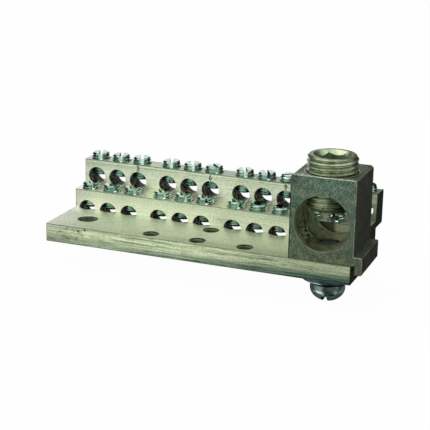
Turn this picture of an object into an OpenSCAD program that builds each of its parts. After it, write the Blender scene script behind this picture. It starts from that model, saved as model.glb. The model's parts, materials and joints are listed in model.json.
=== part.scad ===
// Neutral terminal bar: a stepped aluminium bar with two rows of clamp screws and a main lug.
// Millimetres. The origin is the centre of the mounting hole, on the underside of the flange.
// +X runs along the bar towards the lug, +Y to the back and +Z up.

/* [Bar section] */
// Thickness of the flange
flange_t = 6.2; // [5:0.1:8]
// Depth of the flange in front of the lower row
flange_depth = 21.7; // [20:0.1:30]
// Depth of each row's block, front to back
block_depth = 7.15; // [6.9:0.05:10]
// How far the upper row stands behind the lower row
row_setback = 7.65; // [7.3:0.05:12]
// Height of the lower row's ledge
ledge_z = 12.7; // [12:0.1:16]
// Height of the upper row's top
top_z = 21.7; // [20:0.1:26]
// Height of the upper block's underside
underside_z = 10.5; // [9.5:0.1:11.5]
// Radius on the outer corners of the section
corner_r = 0.4; // [0.1:0.1:0.8]

/* [Wire rows] */
// Groups of wire holes along each row
groups = 4; // [3:1:6]
// Wire holes in each group
group_wires = 3; // [3:1:5]
// Spacing of the holes in a group
wire_pitch = 7.94; // [7:0.01:12]
// Spacing from one group's last hole to the next group's first
group_gap = 11.2; // [8:0.1:20]
// Distance from a bar end to the nearest wire hole
end_margin = 4.5; // [4:0.1:10]
// Diameter of the wire holes
wire_hole_d = 6.3; // [5.5:0.1:6.6]
// Wall left between the ledge and the upper holes
hole_over_ledge = 0.12; // [0.05:0.01:1]
// How far the lower holes' axis lies under the top of the flange
hole_sink = 0.3; // [0:0.1:1.5]
// Point angle of the drill that leaves the lower holes
drill_point_deg = 118; // [90:1:135]
// How far the lower holes' full width runs past the front of their block
drill_past = 0.2; // [0.1:0.1:1]

/* [Terminal screws] */
// Outside diameter of the terminal screws
screw_d = 6.1; // [5:0.1:6.4]
// Length of the upper row's screws
upper_screw_len = 7.7; // [7.6:0.1:10]
// Length of the lower row's screws
lower_screw_len = 8.5; // [7.6:0.1:10]
// Chamfer at both ends of the terminal screws
screw_chamfer = 0.5; // [0.2:0.1:1]
// Width of the screwdriver slot
slot_w = 1.15; // [0.8:0.05:1.6]
// Depth of the screwdriver slot
slot_depth = 1.7; // [1:0.1:2.2]
// How far the upper screws stand above the bar
upper_proud = 2.25; // [0.5:0.05:4]
// How far the lower screws stand above the ledge
lower_proud = 2.2; // [0.5:0.05:4]
// Radial clearance of every screw in its tapped hole
thread_gap = 0.05; // [0.02:0.01:0.1]

/* [Flange holes] */
// Diameter of the plain mounting hole, and of its twin under the lug
mount_hole_d = 6.84; // [6.4:0.02:8]
// Distance from the bar's left end to the mounting hole
mount_inset = 10.4; // [8:0.1:20]
// Diameter of the tapped holes
tapped_hole_d = 5.6; // [4:0.1:7]
// Distance along the bar from the mounting hole to the middle tapped hole
tapped_from_mount = 42.85; // [34:0.05:48]
// Spacing of the tapped holes along the bar
tapped_pitch = 16.5; // [12:0.1:20]
// Distance from the flange's front edge to the front tapped holes
tapped_front_y = 4.5; // [4:0.1:7]
// Distance from the flange's front edge to the back tapped hole
tapped_back_y = 16.5; // [12:0.1:17.5]

/* [Main lug] */
// Diameter of the lug's cable bore
lug_bore_d = 17.9; // [17:0.1:22]
// Wall on each side of the bore
lug_side = 1.6; // [1.2:0.1:3]
// Floor under the bore
lug_floor = 3.5; // [2.5:0.1:6]
// Roof over the bore
lug_roof = 6.05; // [4:0.05:10]
// Depth of the lug, front to back
lug_depth = 21.1; // [18:0.1:24]
// Gap between the lug's back and the lower row
lug_back_gap = 0.8; // [0.6:0.1:3]
// Distance from the bar's right end to the lug's centre
lug_inset = 10.1; // [9:0.1:14]
// Turn of the lug about its mounting screw, degrees
lug_turn = 1.1; // [0:0.1:1.5]
// Radius on the lug's upper corners
lug_corner_r = 1.2; // [0.3:0.1:2]
// Gap between the bar's end and the lug's foot
foot_gap = 0.95; // [0.5:0.05:2]
// Thickness of the foot
foot_t = 2.3; // [1.5:0.1:4]
// How far the foot reaches down past the top of the flange
foot_drop = 2.75; // [1:0.05:5]
// How far the foot's shoulder rises above the top of the flange
foot_rise = 3.1; // [1.5:0.1:6]

/* [Set screw] */
// Outside diameter of the set screw
set_d = 16.2; // [12:0.1:16.4]
// Length of the set screw
set_len = 17.3; // [12:0.1:18]
// How far the set screw stands above the lug
set_proud = 5.4; // [4:0.1:9]
// Wall between the set screw's hole and the lug's front
set_front_wall = 0.6; // [0.4:0.1:3]
// How far the set screw stands to the right of the lug's centre
set_offset = 0.3; // [0:0.1:0.5]
// Hex socket, across the flats
socket_af = 9.5; // [7:0.1:10]
// Depth of the hex socket
socket_depth = 8; // [4:0.5:10]
// Diameter of the socket's bevelled mouth
socket_mouth_d = 12.4; // [12:0.1:13]
// Chamfer at the set screw's top
set_top_chamfer = 0.8; // [0.3:0.1:1.2]
// Chamfer at the set screw's lower end
set_end_chamfer = 1.5; // [0.5:0.1:2.5]

/* [Lug mounting screw] */
// Outside diameter of the mounting screw
bolt_d = 6.2; // [5:0.1:6.3]
// Distance from the screw's tip to the floor of the lug's bore
bolt_recess = 0.2; // [0.1:0.1:1.5]
// Diameter of the head
head_d = 11.4; // [10:0.1:14]
// Height of the head's straight side
head_side = 1.7; // [1:0.1:4]
// Height of the head's dome
head_dome = 4.5; // [3:0.1:5]
// Width of the slot in the head
head_slot_w = 1.8; // [1:0.1:2]
// Depth of the slot in the head
head_slot_depth = 2.6; // [1.5:0.1:3]
// Turn of the slot in the head, degrees
head_slot_deg = 94; // [0:1:180]
// Outside diameter of the flat washer
flat_washer_d = 17.4; // [14:0.1:20]
// Thickness of the flat washer
flat_washer_t = 1.9; // [1:0.05:2.5]
// Outside diameter of the lock washer
lock_washer_d = 12.3; // [10:0.1:14]
// Thickness of the lock washer
lock_washer_t = 1.5; // [1:0.1:2.5]
// Gap at the lock washer's split
lock_split = 0.9; // [0.5:0.1:2]
// Radial clearance of both washers on the screw
washer_gap = 0.25; // [0.1:0.05:0.6]

/* [Hidden] */
$fn = 64;
// Overlap that lets each cut run clear of the face it opens
cut = 1;
// Flat steps round each corner of the section
corner_steps = 3;
// Slot directions as the screws were left, degrees from +X
upper_slot_deg = [111, 108, 113, 110, 114, 133, 117, 121, 35, 110, 120, 95];
lower_slot_deg = [130, 140, 128, 125, 125, 120, 130, 25, 15, 110, 108, 100];

wires = groups * group_wires;
row_l = groups * (group_wires - 1) * wire_pitch + (groups - 1) * group_gap;
bar_l = row_l + 2 * end_margin;
lug_w = lug_bore_d + 2 * lug_side;
lug_h = lug_floor + lug_bore_d + lug_roof;

// Places in the part's frame
mount_y = flange_depth - lug_back_gap - lug_depth / 2;
bar_x = -mount_inset;
front_y = -mount_y;
lower_y = front_y + flange_depth;
upper_y = lower_y + row_setback;
lower_back_y = lower_y + block_depth;
upper_back_y = upper_y + block_depth;
lower_screw_y = lower_y + block_depth / 2;
upper_screw_y = upper_y + block_depth / 2;
upper_hole_z = ledge_z + hole_over_ledge + wire_hole_d / 2;
lower_hole_z = flange_t - hole_sink;
lug_x = bar_x + bar_l - lug_inset;
bore_z = flange_t + lug_floor + lug_bore_d / 2;
lug_top_z = flange_t + lug_h;
set_y = -lug_depth / 2 + set_front_wall + thread_gap + set_d / 2;
bolt_tip_z = flange_t + lug_floor - bolt_recess;
head_z = -flat_washer_t - lock_washer_t;

function wire_x(i) =
    bar_x + end_margin
    + (i - floor(i / group_wires)) * wire_pitch
    + floor(i / group_wires) * group_gap;
function two_digits(i) = str(i < 10 ? "0" : "", i);
function upper_name(i) = str("upper_terminal_screw_", two_digits(i + 1));
function lower_name(i) = str("lower_terminal_screw_", two_digits(i + 1));
function unit(v) = v / norm(v);

// A right-angled outline [x, y, r] with each corner rounded to its own radius
function rounded(outline) = [
    for (i = [0 : len(outline) - 1])
        let (
            n = len(outline),
            here = [outline[i][0], outline[i][1]],
            before = [outline[(i + n - 1) % n][0], outline[(i + n - 1) % n][1]],
            after = [outline[(i + 1) % n][0], outline[(i + 1) % n][1]],
            r = outline[i][2],
            u = unit(before - here),
            v = unit(after - here)
        )
        for (k = [0 : r > 0 ? corner_steps : 0])
            let (a = 90 * k / corner_steps)
            here + r * (u + v) - r * (cos(a) * v + sin(a) * u)
];

// The bar: one extruded section, drilled and tapped

module bar_section() {
    polygon(rounded([
        [front_y, 0, corner_r],
        [lower_back_y, 0, corner_r],
        [lower_back_y, underside_z, 0],
        [upper_back_y, underside_z, corner_r],
        [upper_back_y, top_z, corner_r],
        [upper_y, top_z, corner_r],
        [upper_y, ledge_z, 0],
        [lower_y, ledge_z, corner_r],
        [lower_y, flange_t, 0],
        [front_y, flange_t, corner_r]
    ]));
}

module upper_wire_hole(i) {
    translate([wire_x(i), upper_y - cut, upper_hole_z])
        rotate([-90, 0, 0])
            cylinder(d = wire_hole_d, h = block_depth + 2 * cut);
}

// Drilled from the back: the point breaks out of the step and dents the flange
module lower_wire_hole(i) {
    r = wire_hole_d / 2;
    point = r / tan(drill_point_deg / 2);
    depth = drill_past + block_depth + cut;
    translate([wire_x(i), lower_y - drill_past, lower_hole_z])
        rotate([-90, 0, 0])
            rotate_extrude()
                polygon([[0, -point], [r, 0], [r, depth], [0, depth]]);
}

module tapped_hole(x, y, bottom_z, face_z, d) {
    translate([x, y, bottom_z])
        cylinder(d = d + 2 * thread_gap, h = face_z + cut - bottom_z);
}

module flange_hole(x, y, d) {
    translate([x, y, -cut])
        cylinder(d = d, h = flange_t + 2 * cut);
}

module stepped_bar() {
    color([0.70, 0.72, 0.58])
        difference() {
            translate([bar_x, 0, 0])
                rotate([90, 0, 90])
                    linear_extrude(bar_l)
                        bar_section();
            for (i = [0 : wires - 1]) {
                upper_wire_hole(i);
                lower_wire_hole(i);
                tapped_hole(wire_x(i), upper_screw_y, upper_hole_z, top_z, screw_d);
                tapped_hole(wire_x(i), lower_screw_y, lower_hole_z, ledge_z, screw_d);
            }
            flange_hole(0, 0, mount_hole_d);
            flange_hole(lug_x, 0, mount_hole_d);
            for (side = [-1 : 1])
                flange_hole(tapped_from_mount + side * tapped_pitch, front_y + tapped_front_y, tapped_hole_d);
            flange_hole(tapped_from_mount, front_y + tapped_back_y, tapped_hole_d);
        }
}

// The lug: an extruded box with a foot, standing on the flange

module at_lug() {
    translate([lug_x, 0, 0])
        rotate([0, 0, lug_turn])
            children();
}

module lug_section() {
    foot_x = lug_inset + foot_gap;
    polygon(rounded([
        [-lug_w / 2, flange_t, 0],
        [foot_x, flange_t, 0],
        [foot_x, flange_t - foot_drop, 0],
        [foot_x + foot_t, flange_t - foot_drop, corner_r],
        [foot_x + foot_t, flange_t + foot_rise, corner_r],
        [lug_w / 2, flange_t + foot_rise, 0],
        [lug_w / 2, lug_top_z, lug_corner_r],
        [-lug_w / 2, lug_top_z, lug_corner_r]
    ]));
}

module main_lug() {
    color([0.42, 0.46, 0.40])
        at_lug()
            difference() {
                translate([0, lug_depth / 2, 0])
                    rotate([90, 0, 0])
                        linear_extrude(lug_depth)
                            lug_section();
                translate([0, -lug_depth / 2 - cut, bore_z])
                    rotate([-90, 0, 0])
                        cylinder(d = lug_bore_d, h = lug_depth + 2 * cut);
                tapped_hole(set_offset, set_y, bore_z, lug_top_z, set_d);
                tapped_hole(0, 0, flange_t - cut, flange_t + lug_floor, bolt_d);
            }
}

module lug_set_screw() {
    r = set_d / 2;
    mouth_drop = (socket_mouth_d - socket_af) / 2;
    color([0.66, 0.68, 0.54])
        at_lug()
            translate([set_offset, set_y, lug_top_z + set_proud - set_len])
                difference() {
                    rotate_extrude()
                        polygon([
                            [0, 0],
                            [r - set_end_chamfer, 0],
                            [r, set_end_chamfer],
                            [r, set_len - set_top_chamfer],
                            [r - set_top_chamfer, set_len],
                            [0, set_len]
                        ]);
                    translate([0, 0, set_len - socket_depth])
                        cylinder(d = socket_af / cos(30), h = socket_depth + cut, $fn = 6);
                    translate([0, 0, set_len - mouth_drop])
                        cylinder(d1 = socket_af, d2 = socket_mouth_d + 2 * cut, h = mouth_drop + cut);
                }
}

// The lug's fastener: a slotted screw from below, with a lock washer and a flat washer

module lug_mounting_screw() {
    r = head_d / 2;
    shank = bolt_d / 2;
    color([0.55, 0.62, 0.62])
        translate([lug_x, 0, head_z])
            difference() {
                rotate_extrude()
                    polygon(concat(
                        [
                            [0, bolt_tip_z - head_z],
                            [shank - screw_chamfer, bolt_tip_z - head_z],
                            [shank, bolt_tip_z - head_z - screw_chamfer],
                            [shank, 0],
                            [r, 0]
                        ],
                        [for (a = [0 : 10 : 90]) [r * cos(a), -head_side - head_dome * sin(a)]]
                    ));
                rotate([0, 0, head_slot_deg])
                    translate([-r - cut, -head_slot_w / 2, -head_side - head_dome - cut])
                        cube([2 * (r + cut), head_slot_w, head_slot_depth + cut]);
            }
}

module washer(d, t) {
    difference() {
        cylinder(d = d, h = t);
        translate([0, 0, -cut])
            cylinder(d = bolt_d + 2 * washer_gap, h = t + 2 * cut);
    }
}

module lock_washer() {
    color([0.50, 0.56, 0.55])
        translate([lug_x, 0, head_z])
            difference() {
                washer(lock_washer_d, lock_washer_t);
                translate([0, -lock_split / 2, -cut])
                    cube([lock_washer_d, lock_split, lock_washer_t + 2 * cut]);
            }
}

module flat_washer() {
    color([0.58, 0.64, 0.62])
        translate([lug_x, 0, -flat_washer_t])
            washer(flat_washer_d, flat_washer_t);
}

// The clamp screws: headless, slotted, one over each wire hole

module terminal_screw(length, slot_deg) {
    r = screw_d / 2;
    color([0.52, 0.62, 0.58])
        difference() {
            rotate_extrude()
                polygon([
                    [0, 0],
                    [r - screw_chamfer, 0],
                    [r, screw_chamfer],
                    [r, length - screw_chamfer],
                    [r - screw_chamfer, length],
                    [0, length]
                ]);
            rotate([0, 0, slot_deg])
                translate([-r - cut, -slot_w / 2, length - slot_depth])
                    cube([2 * (r + cut), slot_w, slot_depth + cut]);
        }
}

module upper_terminal_screw(i) {
    translate([wire_x(i), upper_screw_y, top_z + upper_proud - upper_screw_len])
        terminal_screw(upper_screw_len, upper_slot_deg[i % len(upper_slot_deg)]);
}

module lower_terminal_screw(i) {
    translate([wire_x(i), lower_screw_y, ledge_z + lower_proud - lower_screw_len])
        terminal_screw(lower_screw_len, lower_slot_deg[i % len(lower_slot_deg)]);
}

stepped_bar();
main_lug();
lug_set_screw();
lug_mounting_screw();
lock_washer();
flat_washer();
for (i = [0 : wires - 1]) {
    upper_terminal_screw(i);
    lower_terminal_screw(i);
}
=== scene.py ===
"""Looks of a stepped neutral terminal bar with a main lug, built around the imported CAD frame.

Metres, in the frame's own axes: +X along the bar to the lug, +Y to the back, +Z up.
The clamp screws and the set screw get real threads, the bar and the lug get broken edges and taps, and the bar
gets its stamped position numbers.
"""

import json
import math

import bmesh
import bpy
from mathutils import Matrix, Vector

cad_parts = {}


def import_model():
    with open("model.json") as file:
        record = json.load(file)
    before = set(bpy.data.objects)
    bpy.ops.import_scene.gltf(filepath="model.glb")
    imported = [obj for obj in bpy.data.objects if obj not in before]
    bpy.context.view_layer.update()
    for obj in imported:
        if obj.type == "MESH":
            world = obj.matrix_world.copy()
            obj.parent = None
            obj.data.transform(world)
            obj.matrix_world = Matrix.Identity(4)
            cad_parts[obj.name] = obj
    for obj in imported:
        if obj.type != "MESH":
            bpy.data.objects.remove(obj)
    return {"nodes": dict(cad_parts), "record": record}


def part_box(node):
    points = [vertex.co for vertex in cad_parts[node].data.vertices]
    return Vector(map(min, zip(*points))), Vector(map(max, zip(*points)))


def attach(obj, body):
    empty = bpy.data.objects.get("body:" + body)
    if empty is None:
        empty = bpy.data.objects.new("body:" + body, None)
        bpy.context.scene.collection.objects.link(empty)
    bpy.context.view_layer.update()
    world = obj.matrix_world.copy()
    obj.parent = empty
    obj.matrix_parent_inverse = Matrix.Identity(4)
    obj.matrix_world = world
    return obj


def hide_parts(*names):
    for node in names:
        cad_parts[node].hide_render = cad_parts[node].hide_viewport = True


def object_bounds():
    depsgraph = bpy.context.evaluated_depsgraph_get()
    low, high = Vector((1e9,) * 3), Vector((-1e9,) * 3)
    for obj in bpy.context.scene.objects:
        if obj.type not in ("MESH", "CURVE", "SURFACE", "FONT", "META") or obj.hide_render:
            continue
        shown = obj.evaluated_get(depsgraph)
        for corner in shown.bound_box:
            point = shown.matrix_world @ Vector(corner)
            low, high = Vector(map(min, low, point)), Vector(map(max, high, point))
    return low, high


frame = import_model()
cad_low, cad_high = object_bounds()

MM = 0.001
TURN = 2 * math.pi
SMOOTH_UP_TO = math.radians(32)
SEGMENTS = 64
FINE_SEGMENTS = 96
DOME_STEPS = 14
MERGE_WITHIN = 0.001 * MM
LEVEL_WITHIN = 0.01 * MM

# The bar's section and drillings, as in the part's source
FLANGE_T = 6.2 * MM
LEDGE_Z = 12.7 * MM
UNDERSIDE_Z = 10.5 * MM
BLOCK_DEPTH = 7.15 * MM
FLANGE_DEPTH = 21.7 * MM
ROW_SETBACK = 7.65 * MM
CORNER_R = 0.4 * MM
WIRE_HOLE_R = 3.15 * MM
HOLE_OVER_LEDGE = 0.12 * MM
HOLE_SINK = 0.3 * MM
DRILL_POINT = math.radians(118)
DRILL_PAST = 0.2 * MM
DRILL_TIP_R = 0.02 * MM
MOUNT_HOLE_R = 3.42 * MM
TAPPED_R = 2.8 * MM
TAPPED_FROM_MOUNT = 42.85 * MM
TAPPED_PITCH = 16.5 * MM
TAPPED_FRONT = 4.5 * MM
TAPPED_BACK = 16.5 * MM
THREAD_GAP = 0.05 * MM
WIRES_IN_GROUP = 3

# The lug, in its own place on the flange
LUG_TURN = math.radians(1.1)
LUG_BORE_R = 8.95 * MM
LUG_SIDE = 1.6 * MM
LUG_FLOOR = 3.5 * MM
LUG_ROOF = 6.05 * MM
LUG_DEPTH = 21.1 * MM
LUG_INSET = 10.1 * MM
LUG_CORNER_R = 1.2 * MM
FOOT_GAP = 0.95 * MM
FOOT_T = 2.3 * MM
FOOT_DROP = 2.75 * MM
FOOT_RISE = 3.1 * MM

# Threads: pitch and depth, and where the crest ends and the root lies, in shares of the pitch
TERMINAL_PITCH = 0.907 * MM
TERMINAL_DEPTH = 0.5 * MM
SET_PITCH = 1.588 * MM
SET_DEPTH = 0.85 * MM
TAP_PITCH = 1.058 * MM
TAP_DEPTH = 0.4 * MM
LUG_TAP_DEPTH = 0.4 * MM
LUG_TAP_EDGE = 0.35 * MM
CREST_TO = 0.1
ROOT_FROM = 0.46
ROOT_TO = 0.64

# Screws and washers
CHAMFER = 0.5 * MM
SLOT_W = 1.15 * MM
SLOT_DEPTH = 1.7 * MM
SOCKET_SIDES = 6
SOCKET_AF = 9.5 * MM
SOCKET_DEPTH = 8 * MM
SOCKET_MOUTH_R = 6.2 * MM
SET_TOP_CHAMFER = 0.8 * MM
SET_END_CHAMFER = 1.5 * MM
BOLT_R = 3.1 * MM
HEAD_SIDE = 1.7 * MM
HEAD_DOME = 4.5 * MM
HEAD_SLOT_W = 1.8 * MM
HEAD_SLOT_DEPTH = 2.6 * MM
WASHER_GAP = 0.25 * MM
LOCK_SPLIT = 0.9 * MM

# Broken edges and the stamped numbers
DRAWN_EDGE = 0.2 * MM
SAWN_EDGE = 0.06 * MM
HOLE_EDGE = 0.07 * MM
TAP_EDGE = 0.2 * MM
LUG_EDGE = 0.3 * MM
BORE_EDGE = 0.15 * MM
WASHER_EDGE = 0.25 * MM
NUMBER_SIZE = 2.5 * MM
NUMBER_DEPTH = 0.3 * MM
NUMBER_BOLD = 0.1 * MM
NUMBER_OVER_HOLE = 4.3 * MM
NUMBER_STEPS = 3
CLEAR = 1 * MM

# The photograph's camera, fitted to the edges and holes it shows
CAMERA_AT = Vector((197.3, -388.35, 141.3)) * MM
CAMERA_YAW = math.radians(21.235)
CAMERA_PITCH = math.radians(17.038)
CAMERA_ROLL = math.radians(1.187)
CAMERA_LENS = 111.66
CAMERA_SENSOR = 36
CAMERA_CLIP = (0.01, 20)

# The studio: metres and watts
SKY = (0.95, 0.97, 1.0, 1)
SKY_STRENGTH = 0.4
FLOOR_HALF = 3.0
FLOOR_COLOUR = (0.9, 0.9, 0.9, 1)
FLOOR_WHITE = 0.97
MATT = 0.9
CARD_GREY = 0.02
CARD_LIFT = 0.3 * MM
KEY_FROM = Vector((-0.4, -0.5, 0.6))
KEY_SIZE = (1.6, 1.6)
KEY_POWER = 6.8
TOP_FROM = Vector((-0.05, 0.05, 0.8))
TOP_SIZE = (1.6, 1.4)
TOP_POWER = 3.6


# Mesh tools

def new_object(name, mesh):
    piece = bpy.data.objects.new(name, mesh)
    bpy.context.scene.collection.objects.link(piece)
    return piece


def from_bmesh(name, shape):
    bmesh.ops.recalc_face_normals(shape, faces=shape.faces)
    mesh = bpy.data.meshes.new(name)
    shape.to_mesh(mesh)
    shape.free()
    return new_object(name, mesh)


def loft(name, rings, closed=False):
    """A closed piece through rings of points, with flat caps, or with the last ring joined to the first."""
    shape = bmesh.new()
    made = [[shape.verts.new(p) for p in ring] for ring in rings]
    pairs = list(zip(made, made[1:]))
    if closed:
        pairs.append((made[-1], made[0]))
    for low, high in pairs:
        for i in range(len(low)):
            j = (i + 1) % len(low)
            shape.faces.new((low[i], low[j], high[j], high[i]))
    if not closed:
        shape.faces.new(list(reversed(made[0])))
        shape.faces.new(made[-1])
    return from_bmesh(name, shape)


def circle(radius, z, sides=SEGMENTS):
    return [Vector((radius * math.cos(TURN * k / sides), radius * math.sin(TURN * k / sides), z))
            for k in range(sides)]


def lathe(name, profile, sides=SEGMENTS, closed=False):
    """A piece turned about Z from (radius, height) points, lowest first."""
    return loft(name, [circle(r, z, sides) for r, z in profile], closed)


def box(name, low, high):
    corners = [(low[0], low[1]), (high[0], low[1]), (high[0], high[1]), (low[0], high[1])]
    return loft(name, [[Vector((x, y, z)) for x, y in corners] for z in (low[2], high[2])])


def rounded(outline, steps=5):
    """A right-angled outline of (x, y, radius) corners, with each corner rounded."""
    made = []
    for i, (x, y, r) in enumerate(outline):
        here = Vector((x, y))
        before = Vector(outline[i - 1][:2])
        after = Vector(outline[(i + 1) % len(outline)][:2])
        u = (before - here).normalized()
        v = (after - here).normalized()
        for k in range(steps + 1 if r > 0 else 1):
            a = math.pi / 2 * k / steps
            made.append(here + r * (u + v) - r * (math.cos(a) * v + math.sin(a) * u))
    return made


def inset(outline, by):
    """The same counterclockwise outline drawn in by a small distance."""
    made = []
    for i, here in enumerate(outline):
        a = (here - outline[i - 1]).normalized()
        b = (outline[(i + 1) % len(outline)] - here).normalized()
        n = Vector((a.y, -a.x))
        m = Vector((b.y, -b.x))
        made.append(here - by * (n + m) / (1 + n.dot(m)))
    return made


def extrusion(name, outline, start, end, edge, to_place):
    """An outline drawn from start to end, with the edges round both ends broken."""
    steps = 3
    stations = []
    for k in range(steps + 1):
        a = math.pi / 2 * k / steps
        stations.append((edge * (1 - math.cos(a)), edge * (1 - math.sin(a))))
    rings = [(start + along, by) for along, by in stations]
    rings += [(end - along, by) for along, by in reversed(stations)]
    return loft(name, [[to_place(p, station) for p in inset(outline, by)] for station, by in rings])


def thread(name, radius, depth, pitch, low, high, sides=SEGMENTS):
    """A closed helical thread on Z: narrow crests and roots joined by sloping flanks."""
    steps = [(0, radius), (CREST_TO, radius), (ROOT_FROM, radius - depth), (ROOT_TO, radius - depth)]
    turns = math.ceil((high - low) / pitch) + 1
    shape = bmesh.new()
    rows = []
    for turn in range(turns):
        for share, r in steps:
            base = low + (turn + share) * pitch - pitch
            rows.append([shape.verts.new((r * math.cos(TURN * k / sides), r * math.sin(TURN * k / sides),
                                          base + pitch * k / sides)) for k in range(sides)])
    per_turn = len(steps)
    for a in range(len(rows) - 1):
        for k in range(sides):
            if k < sides - 1:
                corners = (rows[a][k], rows[a][k + 1], rows[a + 1][k + 1], rows[a + 1][k])
            elif a + 1 + per_turn < len(rows):
                corners = (rows[a][k], rows[a + per_turn][0], rows[a + 1 + per_turn][0], rows[a + 1][k])
            else:
                continue
            shape.faces.new(corners)
    shape.edges.ensure_lookup_table()
    open_edges = [e for e in shape.edges if e.is_boundary]
    bmesh.ops.holes_fill(shape, edges=open_edges)
    return from_bmesh(name, shape)


def joined(pieces):
    """Several pieces that don't touch, as one."""
    shape = bmesh.new()
    for piece in pieces:
        shape.from_mesh(piece.data)
        bpy.data.objects.remove(piece)
    return from_bmesh("joined", shape)


def cut(body, tool, operation="DIFFERENCE"):
    """The boolean of two pieces goes into body, and tool is removed."""
    modifier = body.modifiers.new("cut", "BOOLEAN")
    modifier.object = tool
    modifier.operation = operation
    modifier.solver = "EXACT"
    graph = bpy.context.evaluated_depsgraph_get()
    made = bpy.data.meshes.new_from_object(body.evaluated_get(graph))
    body.modifiers.clear()
    body.data = made
    bpy.data.objects.remove(tool)
    return body


def placed(piece, matrix):
    piece.data.transform(matrix)
    return piece


def at(x, y, z):
    return Matrix.Translation((x, y, z))


ALONG_Y = Matrix.Rotation(-math.pi / 2, 4, "X")


def finished(piece, name, node, body, material):
    """Smooth shading, one material, and the place of a CAD node on its body."""
    piece.name = name
    for polygon in piece.data.polygons:
        polygon.use_smooth = True
    piece.data.set_sharp_from_angle(angle=SMOOTH_UP_TO)
    flat = piece.modifiers.new("flat faces", "WEIGHTED_NORMAL")
    flat.keep_sharp = True
    piece.data.materials.clear()
    piece.data.materials.append(material)
    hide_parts(node)
    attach(piece, body)
    return piece


# The bar

def drill(radius, low, high, edges):
    """A cutter on Z whose ends flare, so that the hole's edges are broken at the heights low and high."""
    profile = [(radius + edges, low - CLEAR), (radius + edges, low), (radius, low + edges),
               (radius, high - edges), (radius + edges, high), (radius + edges, high + CLEAR)]
    return lathe("drill", profile)


def screw_places(row):
    """The axis and the radius of each clamp screw of a row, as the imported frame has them."""
    places = []
    for name in sorted(n for n in frame["nodes"] if n.startswith(row + "_terminal_screw")):
        low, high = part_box(name)
        places.append(((low.x + high.x) / 2, (low.y + high.y) / 2, (high.x - low.x) / 2))
    return places


def number(text, x, y, z):
    """A cutter in the form of a number that faces the front."""
    curve = bpy.data.curves.new("number", "FONT")
    curve.body = text
    curve.size = NUMBER_SIZE
    curve.align_x = "CENTER"
    curve.align_y = "CENTER"
    curve.extrude = NUMBER_DEPTH
    curve.offset = NUMBER_BOLD
    curve.resolution_u = NUMBER_STEPS
    words = bpy.data.objects.new("number", curve)
    bpy.context.scene.collection.objects.link(words)
    graph = bpy.context.evaluated_depsgraph_get()
    mesh = bpy.data.meshes.new_from_object(words.evaluated_get(graph))
    bpy.data.objects.remove(words)
    shape = bmesh.new()
    shape.from_mesh(mesh)
    bmesh.ops.remove_doubles(shape, verts=shape.verts, dist=MERGE_WITHIN)
    return placed(from_bmesh("number", shape), at(x, y, z) @ Matrix.Rotation(math.pi / 2, 4, "X"))


def stepped_bar(material):
    low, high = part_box("stepped_bar")
    lower_y = low.y + FLANGE_DEPTH
    upper_y = lower_y + ROW_SETBACK
    lower_back = lower_y + BLOCK_DEPTH
    outline = rounded([
        (low.y, low.z, DRAWN_EDGE), (lower_back, low.z, DRAWN_EDGE), (lower_back, UNDERSIDE_Z, 0),
        (high.y, UNDERSIDE_Z, DRAWN_EDGE), (high.y, high.z, DRAWN_EDGE), (upper_y, high.z, DRAWN_EDGE),
        (upper_y, LEDGE_Z, 0), (lower_y, LEDGE_Z, DRAWN_EDGE), (lower_y, FLANGE_T, 0),
        (low.y, FLANGE_T, DRAWN_EDGE)])
    bar = extrusion("bar", outline, low.x, high.x, SAWN_EDGE, lambda p, x: Vector((x, p.x, p.y)))

    upper = screw_places("upper")
    lower = screw_places("lower")
    upper_hole_z = LEDGE_Z + HOLE_OVER_LEDGE + WIRE_HOLE_R
    lower_hole_z = FLANGE_T - HOLE_SINK
    through = []
    for x, y, r in upper:
        hole = drill(WIRE_HOLE_R, 0, BLOCK_DEPTH, HOLE_EDGE)
        through.append(placed(hole, at(x, upper_y, upper_hole_z) @ ALONG_Y))
    cut(bar, joined(through))
    point = WIRE_HOLE_R / math.tan(DRILL_POINT / 2)
    depth = DRILL_PAST + BLOCK_DEPTH
    pointed = [(DRILL_TIP_R, -point), (WIRE_HOLE_R, 0), (WIRE_HOLE_R, depth - HOLE_EDGE),
               (WIRE_HOLE_R + HOLE_EDGE, depth), (WIRE_HOLE_R + HOLE_EDGE, depth + CLEAR)]
    from_behind = []
    for x, y, r in lower:
        hole = lathe("drill", pointed)
        from_behind.append(placed(hole, at(x, lower_y - DRILL_PAST, lower_hole_z) @ ALONG_Y))
    cut(bar, joined(from_behind))
    taps = []
    for places, bottom, top in ((upper, upper_hole_z, high.z), (lower, lower_hole_z, LEDGE_Z)):
        for x, y, r in places:
            hole_r = r + THREAD_GAP
            profile = [(hole_r, bottom), (hole_r, top - TAP_EDGE), (hole_r + TAP_EDGE, top),
                       (hole_r + TAP_EDGE, top + CLEAR)]
            taps.append(placed(lathe("tap", profile), at(x, y, 0)))
    cut(bar, joined(taps))

    lug_x = high.x - LUG_INSET
    mounts = []
    for x in (0, lug_x):
        mounts.append(placed(drill(MOUNT_HOLE_R, low.z, FLANGE_T, 2 * HOLE_EDGE), at(x, 0, 0)))
    cut(bar, joined(mounts))
    middle = TAPPED_FROM_MOUNT
    flange_taps = []
    for x, y in ((middle - TAPPED_PITCH, TAPPED_FRONT), (middle, TAPPED_FRONT),
                 (middle + TAPPED_PITCH, TAPPED_FRONT), (middle, TAPPED_BACK)):
        ridge = thread("tap", TAPPED_R + TAP_DEPTH / 2, TAP_DEPTH, TAP_PITCH, -2 * CLEAR, FLANGE_T + 2 * CLEAR)
        flange_taps.append(placed(ridge, at(x, low.y + y, 0)))
    cut(bar, joined(flange_taps))
    for i in range(WIRES_IN_GROUP - 1, len(upper), WIRES_IN_GROUP):
        cut(bar, number(str(i + 1), upper[i][0], upper_y, upper_hole_z + NUMBER_OVER_HOLE))
    finished(bar, "drilled_bar", "stepped_bar", "bar", material)


# The lug

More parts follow.
